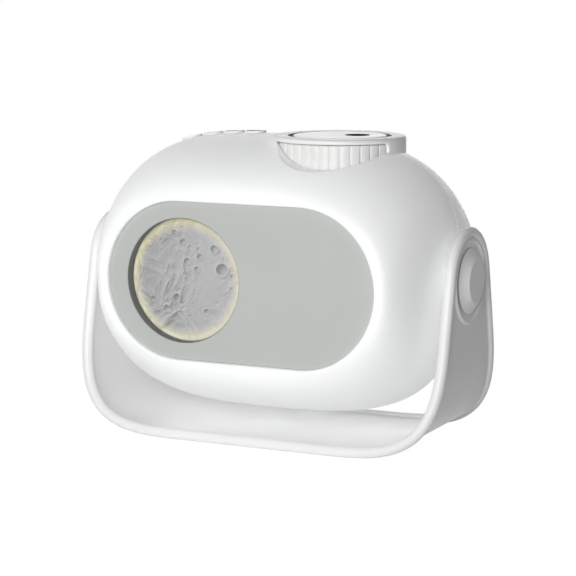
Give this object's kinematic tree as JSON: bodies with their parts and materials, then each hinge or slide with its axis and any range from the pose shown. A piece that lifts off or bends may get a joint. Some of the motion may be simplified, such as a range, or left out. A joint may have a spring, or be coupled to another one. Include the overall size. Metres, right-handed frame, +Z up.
{
  "type": "planetarium projector",
  "caption": "Tabletop planetarium projector: rounded white head with a moon lamp in its grey front and a star lens tower on top, tilting in a U-shaped stand.",
  "frame": {"origin": "on the table, at the middle of the stand's base", "axes": "+Z up, +X to the object's right seen from the front, the moon panel faces -Y"},
  "size_m": [0.1894, 0.103, 0.1416],
  "materials": {
    "casing_white": "satin moulded ABS, white",
    "stand_white": "satin moulded ABS, white",
    "panel_grey": "fine matte, light grey",
    "moon_frosted": "frosted relief, grey with a warm lit edge",
    "ring_white": "knurled, white",
    "button_white": "satin, white",
    "reflector_white": "matte white",
    "black_plastic": "matte black",
    "rubber_grey": "soft matte grey",
    "nylon_natural": "natural nylon",
    "optical_glass": "clear polished",
    "star_film_clear": "clear film with a dark star pattern",
    "board_green": "green solder mask",
    "chip_black": "moulded black",
    "led_yellow": "phosphor yellow",
    "sink_aluminium": "extruded, satin",
    "steel": "zinc plated",
    "bush_brass": "sintered bronze",
    "cell_wrap": "shrink wrap"
  },
  "bodies": {
    "stand": {"stand_frame": "stand_white", "foot_pads": "rubber_grey", "arm_bush_left": "nylon_natural", "arm_bush_right": "nylon_natural"},
    "head": {"battery_cell": "cell_wrap", "battery_holder": "black_plastic", "board_chips": "chip_black", "board_screws": "steel", "button_board": "board_green", "button_switches": "chip_black", "condenser_lens": "optical_glass", "film_motor": "steel", "front_panel": "panel_grey", "front_shell": "casing_white", "heat_sink": "sink_aluminium", "inner_chassis": "black_plastic", "light_tube": "black_plastic", "main_board": "board_green", "moon_diffuser": "moon_frosted", "moon_gasket": "black_plastic", "moon_led_board": "board_green", "moon_leds": "led_yellow", "moon_reflector": "reflector_white", "optics_plate": "black_plastic", "pivot_hub_left": "casing_white", "pivot_hub_right": "casing_white", "pivot_knob_left": "stand_white", "pivot_knob_right": "stand_white", "pivot_screw_left": "steel", "pivot_screw_right": "steel", "pivot_spacer_left": "casing_white", "pivot_spacer_right": "casing_white", "pivot_washer_left": "rubber_grey", "pivot_washer_right": "rubber_grey", "rear_shell": "casing_white", "shell_screws": "steel", "spindle_bush": "bush_brass", "star_led": "led_yellow", "star_led_board": "board_green", "tower_collar": "casing_white", "usb_board": "board_green", "usb_socket": "steel"},
    "focus": {"focus_ring": "ring_white"},
    "barrel": {"lens_barrel": "casing_white", "lens_carrier": "black_plastic", "projection_lens": "optical_glass"},
    "film": {"film_gear": "nylon_natural", "star_film": "star_film_clear", "film_spindle": "steel"},
    "pinion": {"drive_pinion": "bush_brass"},
    "button_1": {"button_cap_1": "button_white"},
    "button_2": {"button_cap_2": "button_white"},
    "button_3": {"button_cap_3": "button_white"},
    "button_4": {"button_cap_4": "button_white"}
  },
  "joints": [
    {"name": "head_tilt", "type": "hinge", "parent": "stand", "child": "head", "pos_m": [0, 0, 0.0775], "axis": [1, 0, 0], "range_deg": [-90, 90]},
    {"name": "focus_turn", "type": "hinge", "parent": "head", "child": "focus", "pos_m": [0.0273, 0, 0.13], "axis": [0, 0, 1], "range_deg": [-60, 60]},
    {"name": "barrel_slide", "type": "slide", "parent": "head", "child": "barrel", "axis": [0, 0, 1], "range_m": [-0.0015, 0.0015]},
    {"name": "film_spin", "type": "hinge", "parent": "head", "child": "film", "pos_m": [0.0273, 0, 0.114], "axis": [0, 0, 1], "continuous": true},
    {"name": "pinion_spin", "type": "hinge", "parent": "head", "child": "pinion", "pos_m": [0.0013, 0, 0.1125], "axis": [0, 0, 1], "continuous": true},
    {"name": "button_1_press", "type": "slide", "parent": "head", "child": "button_1", "axis": [0, 0, -1], "range_m": [0, 0.0006], "stiffness_N_per_m": 900, "springref_m": -0.0006},
    {"name": "button_2_press", "type": "slide", "parent": "head", "child": "button_2", "axis": [0, 0, -1], "range_m": [0, 0.0006], "stiffness_N_per_m": 900, "springref_m": -0.0006},
    {"name": "button_3_press", "type": "slide", "parent": "head", "child": "button_3", "axis": [0, 0, -1], "range_m": [0, 0.0006], "stiffness_N_per_m": 900, "springref_m": -0.0006},
    {"name": "button_4_press", "type": "slide", "parent": "head", "child": "button_4", "axis": [0, 0, -1], "range_m": [0, 0.0006], "stiffness_N_per_m": 900, "springref_m": -0.0006}
  ],
  "couplings": [
    {"joint": "focus_turn", "follows": "barrel_slide", "rad_per_m": 698.13},
    {"joint": "pinion_spin", "follows": "film_spin", "ratio": -3.3333}
  ]
}
